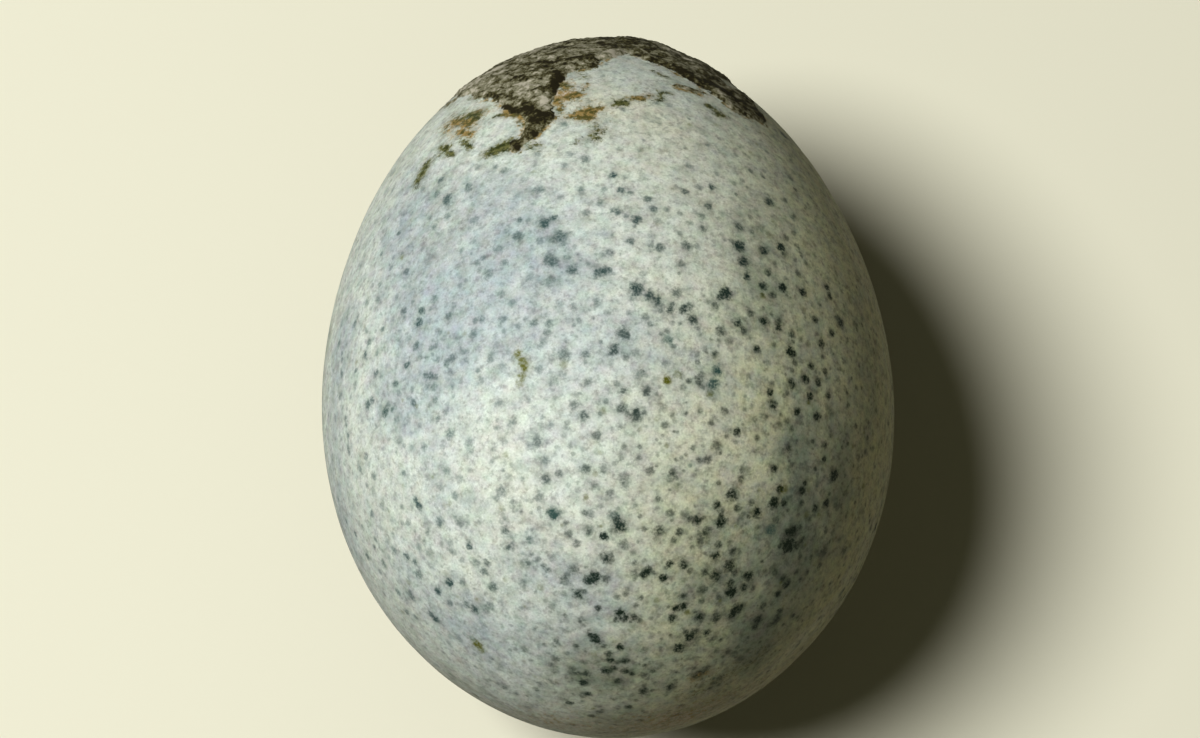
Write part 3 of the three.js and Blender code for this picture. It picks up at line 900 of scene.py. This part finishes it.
def ramp_between(value, low, high, to_low=0.0, to_high=1.0):
    """Smooth step of a value from low..high to the given range."""
    ends = (("From Min", low), ("From Max", high), ("To Min", to_low), ("To Max", to_high))
    return add("ShaderNodeMapRange", (("Value", value), *ends), interpolation_type="SMOOTHSTEP").outputs[0]


def blend(share, first, second, mode="MIX"):
    """Colour between first and second, or first changed by second in another mode."""
    inputs = ((0, share), (6, first), (7, second))
    return add("ShaderNodeMix", inputs, data_type="RGBA", blend_type=mode).outputs[2]


def attribute(name):
    """The attribute node of that name."""
    return add("ShaderNodeAttribute", attribute_name=name)


def parts_of(name):
    """The three numbers of a vector attribute."""
    return add("ShaderNodeSeparateXYZ", ((0, attribute(name).outputs["Vector"]),)).outputs


def noise(where, per_mm, detail=2.0, roughness=0.5, colour=False):
    """Noise with the given number of bumps per mm, from 0 to 1, or as a colour."""
    inputs = (("Vector", where), ("Scale", per_mm), ("Detail", detail), ("Roughness", roughness))
    return add("ShaderNodeTexNoise", inputs).outputs[1 if colour else 0]


def around_one(value, amount):
    """1 + amount * (value - 0.5), which turns a noise into a brightness."""
    return calc("MULTIPLY_ADD", value, amount, 1 - amount / 2)


def around_zero(value, amount):
    """amount * (value - 0.5), which turns a noise into a push to either side."""
    return calc("MULTIPLY_ADD", value, amount, -amount / 2)


# %% Shell colour
SHELL_GREY = (0.560, 0.605, 0.560, 1)
SHELL_BLUE_AND_RIM_SHADE = (0.385, 0.436, 0.450, 1)
SHELL_DARK_AND_SHADE = (0.255, 0.285, 0.225, 1)
SHELL_CREAM_AND_RIM_LIGHT = (0.620, 0.635, 0.540, 1)
SHELL_OLIVE_AND_SHADE = (0.500, 0.510, 0.345, 1)
MIDDLE_GREY = (0.5, 0.5, 0.5, 1)
CLOUD_AND_RIM_EDGE, DARK_AND_SHADE_EDGE = (-0.2, 1.1), (-0.15, 1.1)
OLIVE_AND_SHADE_AMOUNT = 0.9
MOTTLE_AMOUNT, PORE_AMOUNT = 0.55, 0.42
BRUISE_AND_SHADE_AMOUNT, UNBRUISED = 0.42, 1.02
HUE_AMOUNT = 0.2

object_place = add("ShaderNodeTexCoord").outputs["Object"]
place = add("ShaderNodeVectorMath", ((0, object_place), ("Scale", 1 / MM)), operation="SCALE").outputs[0]
blue_cloud_and_rim_shade, dark_cloud_and_shade, cream_cloud_and_rim_light = parts_of("clouds_and_painted_light")
ragged = around_zero(noise(place, 0.8, 3.0, 0.6), 1.3)
# The olive flank is partly the shell's own tint and partly painted shade, warm and dark, on the side away
# from the key light.
olive_and_shade_share = calc("MULTIPLY", attribute("olive_tint_and_shade").outputs["Fac"], OLIVE_AND_SHADE_AMOUNT)
shell = blend(olive_and_shade_share, SHELL_GREY, SHELL_OLIVE_AND_SHADE)
# Cream clouds pale the shell and paint bounce light along the rims.
shell = blend(ramp_between(calc("ADD", cream_cloud_and_rim_light, ragged), *CLOUD_AND_RIM_EDGE), shell, SHELL_CREAM_AND_RIM_LIGHT)
# Blue clouds tint the shell and paint shade near the left rim.
shell = blend(ramp_between(calc("ADD", blue_cloud_and_rim_shade, ragged), *CLOUD_AND_RIM_EDGE), shell, SHELL_BLUE_AND_RIM_SHADE)
# Dark clouds darken the pigment and paint shade along the left rim, the right flank and the bottom.
shell = blend(ramp_between(calc("ADD", dark_cloud_and_shade, ragged), *DARK_AND_SHADE_EDGE), shell, SHELL_DARK_AND_SHADE)

# The grain: freckles, a slow mottle and fine pores darken the shell, and the olive flank is
# blotched with bruises, partly markings and partly painted shade on that flank
grain = noise(place, 2.5, 2.5, 0.65)
pores = noise(place, 6.5, 1.0)
mottle = noise(place, 1.0, 2.0, 0.6)
freckle = ramp_between(grain, 0.44, 0.76, 1.06, 0.72)
brightness = calc("MULTIPLY", freckle, around_one(mottle, MOTTLE_AMOUNT))
brightness = calc("MULTIPLY", brightness, around_one(pores, PORE_AMOUNT))
bruise_and_shade = calc("MULTIPLY", ramp_between(noise(place, 1.7, 2.0, 0.6), 0.5, 0.72), olive_and_shade_share)
brightness = calc("MULTIPLY", brightness, calc("MULTIPLY_ADD", bruise_and_shade, -BRUISE_AND_SHADE_AMOUNT, UNBRUISED))
shell = blend(1.0, shell, brightness, "MULTIPLY")
hue_drift = blend(HUE_AMOUNT, MIDDLE_GREY, noise(place, 1.1, 3.0, 0.6, colour=True))
shell = blend(1.0, shell, hue_drift, "SOFT_LIGHT")

# %% Spots in the finish
SPOT_SLATE = (0.062, 0.107, 0.106, 1)
SPOT_INK = (0.011, 0.024, 0.012, 1)
SPOT_OLIVE = (0.120, 0.128, 0.014, 1)
SPOT_TEAL = (0.045, 0.095, 0.085, 1)
HALO_SHARE = 0.15
RIM, CORE = 1.65, 0.35
HALO_RIM, HALO_CORE = 2.9, 0.9

uneven = around_zero(noise(place, 3.4, 2.0, 0.6), 1.6)
speckle = ramp_between(noise(place, 6.0, 2.0), 0.32, 0.6, 0.72, 1.15)


def spot_cover(rank):
    """(cover, hue) of one of the nearest spots.

    Reach = distance / radius + uneven. Cover = strength * the larger of a soft disc that fades
    from the core's reach to the rim's, and a faint halo that fades further out.
    """
    radius, strength, hue = parts_of(f"spot_look_{rank}")
    middle = attribute(f"spot_place_{rank}").outputs["Vector"]
    away = add("ShaderNodeVectorMath", ((0, place), (1, middle)), operation="DISTANCE").outputs["Value"]
    reach = calc("ADD", calc("DIVIDE", away, radius), uneven)
    disc = ramp_between(reach, RIM, CORE)
    halo = ramp_between(reach, HALO_RIM, HALO_CORE, 0.0, HALO_SHARE)
    return calc("MULTIPLY", calc("MAXIMUM", disc, halo), strength), hue


for rank in range(NEAREST):
    cover, hue = spot_cover(rank)
    pigment = blend(hue, SPOT_SLATE, SPOT_INK)
    pigment = blend(calc("SUBTRACT", hue, INK), pigment, SPOT_OLIVE)
    pigment = blend(calc("MULTIPLY", hue, TEAL), pigment, SPOT_TEAL)
    shell = blend(calc("MULTIPLY", cover, speckle), shell, pigment)

# %% Crust and stains in the finish
CRUST_BLACK = (0.022, 0.018, 0.006, 1)
CRUST_BROWN = (0.084, 0.077, 0.033, 1)
CRUST_GREY = (0.250, 0.243, 0.172, 1)
CRUST_PALE = (0.470, 0.445, 0.370, 1)
STAIN_OCHRE = (0.335, 0.245, 0.100, 1)
STAIN_BROWN = (0.115, 0.105, 0.032, 1)
STAIN_OLIVE = (0.150, 0.155, 0.060, 1)
STAIN_MOSS = (0.045, 0.055, 0.014, 1)
STAIN_PALE = (0.56, 0.50, 0.42, 1)
STAIN_EDGE, TORN_SHARE = (0.15, 1.0), 0.7
VEIL_EDGE, VEIL_AMOUNT = (0.02, 0.6), 0.3
STAIN_GAIN = 2.5
BLOT_EDGE = (0.42, 0.58)
FRINGE_EDGE, FRINGE_PATCHES, FRINGE_AMOUNT = (-0.5, -0.05), (0.45, 0.62), 0.9
CRUST_BORDER = (-0.08, 0.1)
TONE_AMOUNT = 0.30
SOIL_LAYERS = ((0.16, 0.38, CRUST_BROWN), (0.36, 0.60, CRUST_GREY), (0.60, 0.90, CRUST_PALE))

frayed = around_zero(noise(place, 2.6, 3.0, 0.65), 0.7)
torn = around_zero(noise(place, 2.9, 4.0, 0.75), 4.0)
blots = noise(place, 2.2, 3.0, 0.7)


def stained(under, amount, colour, deep):
    """A stain over a colour: full where its amount, torn by noise, is high, and a faint veil round that.

    The noise of blots changes its own colour from deep to light.
    """
    share = ramp_between(calc("MULTIPLY_ADD", torn, TORN_SHARE, amount), *STAIN_EDGE)
    share = calc("MAXIMUM", share, ramp_between(amount, *VEIL_EDGE, 0.0, VEIL_AMOUNT))
    patchy = blend(ramp_between(blots, *BLOT_EDGE), deep, colour)
    return blend(calc("MINIMUM", share, calc("MULTIPLY", amount, STAIN_GAIN)), under, patchy)


ochre, olive, pale = parts_of("stain")
inside = attribute("crust_inside").outputs["Fac"]
fringe_patches = ramp_between(mottle, *FRINGE_PATCHES, 0.0, FRINGE_AMOUNT)
fringe = calc("MULTIPLY", ramp_between(inside, *FRINGE_EDGE), fringe_patches)
shell = stained(shell, calc("MAXIMUM", ochre, fringe), STAIN_OCHRE, STAIN_BROWN)
shell = stained(shell, olive, STAIN_OLIVE, STAIN_MOSS)
shell = stained(shell, pale, STAIN_PALE, STAIN_OCHRE)
crust_cover = ramp_between(calc("ADD", inside, frayed), *CRUST_BORDER)
tone = attribute("soil_tone").outputs["Fac"]
clumps = calc("MULTIPLY_ADD", noise(place, 1.5, 2.0, 0.6), 1.6, -0.82)
crumbs = calc("ADD", clumps, calc("MULTIPLY_ADD", noise(place, 3.6, 3.0, 0.7), 1.2, -0.10))
crumbs = calc("MULTIPLY_ADD", tone, TONE_AMOUNT, crumbs)
soil = CRUST_BLACK
for low, high, colour in SOIL_LAYERS:
    soil = blend(ramp_between(crumbs, low, high), soil, colour)
surface = blend(crust_cover, shell, soil)

# %% Shader
SHELL_ROUGHNESS, CRUST_ROUGHNESS = 0.6, 0.85
SPECULAR_LEVEL = 0.22
BUMP_STRENGTH, BUMP_HEIGHT = 0.5, 0.02 * MM

bump_inputs = (("Strength", BUMP_STRENGTH), ("Distance", BUMP_HEIGHT), ("Height", grain))
shell_bump = add("ShaderNodeBump", bump_inputs).outputs[0]
roughness = ramp_between(crust_cover, 0.0, 1.0, SHELL_ROUGHNESS, CRUST_ROUGHNESS)
looks = (("Base Color", surface), ("Roughness", roughness), ("Normal", shell_bump))
principled = add("ShaderNodeBsdfPrincipled", (*looks, ("Specular IOR Level", SPECULAR_LEVEL)))
add("ShaderNodeOutputMaterial", (("Surface", principled.outputs[0]),))
egg_mesh.materials.append(material)
print("Finish nodes:", len(tree.nodes))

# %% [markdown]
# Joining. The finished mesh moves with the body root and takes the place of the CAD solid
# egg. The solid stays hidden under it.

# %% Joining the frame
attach(egg_piece, "root")
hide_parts("egg")

# %% [markdown]
# Setting. The egg lies in soft daylight from the upper left, and its right side falls into
# olive shade with a little warmth from below. One wide disc lamp gives the soft edge of the
# shadow. A floor that bounced light would lift both lower rims, so the floor is left out of
# the bounced light, and the surround gives a warm bounce from the lower right only. A gamma
# under one makes the shades as deep as a camera's contrast does.

# %% Floor and light
FLOOR_HALF = 1.5
FLOOR_COLOUR = (0.70, 0.69, 0.585, 1)
FLOOR_ROUGHNESS = 0.9
floor_mesh = bpy.data.meshes.new("floor")
corners = [(-1, -1, 0), (1, -1, 0), (1, 1, 0), (-1, 1, 0)]
floor_mesh.from_pydata([(x * FLOOR_HALF, y * FLOOR_HALF, z) for x, y, z in corners], [], [(0, 1, 2, 3)])
floor = bpy.data.objects.new("floor", floor_mesh)
bpy.context.collection.objects.link(floor)
floor_finish = bpy.data.materials.new("floor_finish")
floor_finish.use_nodes = True
floor_shader = floor_finish.node_tree.nodes["Principled BSDF"]
floor_shader.inputs["Base Color"].default_value = FLOOR_COLOUR
floor_shader.inputs["Roughness"].default_value = FLOOR_ROUGHNESS
floor_mesh.materials.append(floor_finish)
floor.visible_diffuse = False

KEY_FROM = np.array([-0.47, -0.02, 0.882])
KEY_DISTANCE = 0.9
KEY_SIZE = 0.42
KEY_POWER = 10.9
KEY_COLOUR = (1.0, 0.995, 0.97)
key_data = bpy.data.lights.new("key", "AREA")
key_data.shape = "DISK"
key_data.size = KEY_SIZE
key_data.energy = KEY_POWER
key_data.color = KEY_COLOUR
key = bpy.data.objects.new("key", key_data)
key.location = Vector(EGG_MIDDLE * MM + KEY_DISTANCE * KEY_FROM)
key.rotation_euler = Vector(KEY_FROM).to_track_quat("Z", "Y").to_euler()
bpy.context.collection.objects.link(key)
print("Key light at", (EGG_MIDDLE * MM + KEY_DISTANCE * KEY_FROM).round(3), "power", KEY_POWER, "W")

# %% [markdown]
# Surround. It is seen only as light: dim all round, darker from underneath, and brighter
# around one direction. The node helpers put their nodes into whatever tree is called tree,
# so that name is given to the surround's own tree first.

# %% Surround
SURROUND = (0.080, 0.078, 0.052, 1)
UNDERNEATH = (0.020, 0.020, 0.013, 1)
BOUNCE = (0.46, 0.40, 0.25, 1)
BOUNCE_FROM = (0.80, -0.25, -0.55)
BOUNCE_EDGE = (0.5, 0.97)
HORIZON_EDGE = (-0.7, 0.0)
CONTRAST_GAMMA = 0.82

world = bpy.data.worlds.new("surround")
world.use_nodes = True
tree = world.node_tree
background = tree.nodes["Background"]
sky_place = add("ShaderNodeTexCoord").outputs["Generated"]
sky_height = add("ShaderNodeSeparateXYZ", ((0, sky_place),)).outputs[2]
dimmed = blend(ramp_between(sky_height, *HORIZON_EDGE), UNDERNEATH, SURROUND)
directions = ((0, sky_place), (1, BOUNCE_FROM))
toward = add("ShaderNodeVectorMath", directions, operation="DOT_PRODUCT").outputs["Value"]
plug(background.inputs[0], blend(ramp_between(toward, *BOUNCE_EDGE), dimmed, BOUNCE))
bpy.context.scene.world = world
bpy.context.scene.view_settings.view_transform = "Standard"
bpy.context.scene.view_settings.gamma = CONTRAST_GAMMA
print("Surround nodes:", len(tree.nodes))
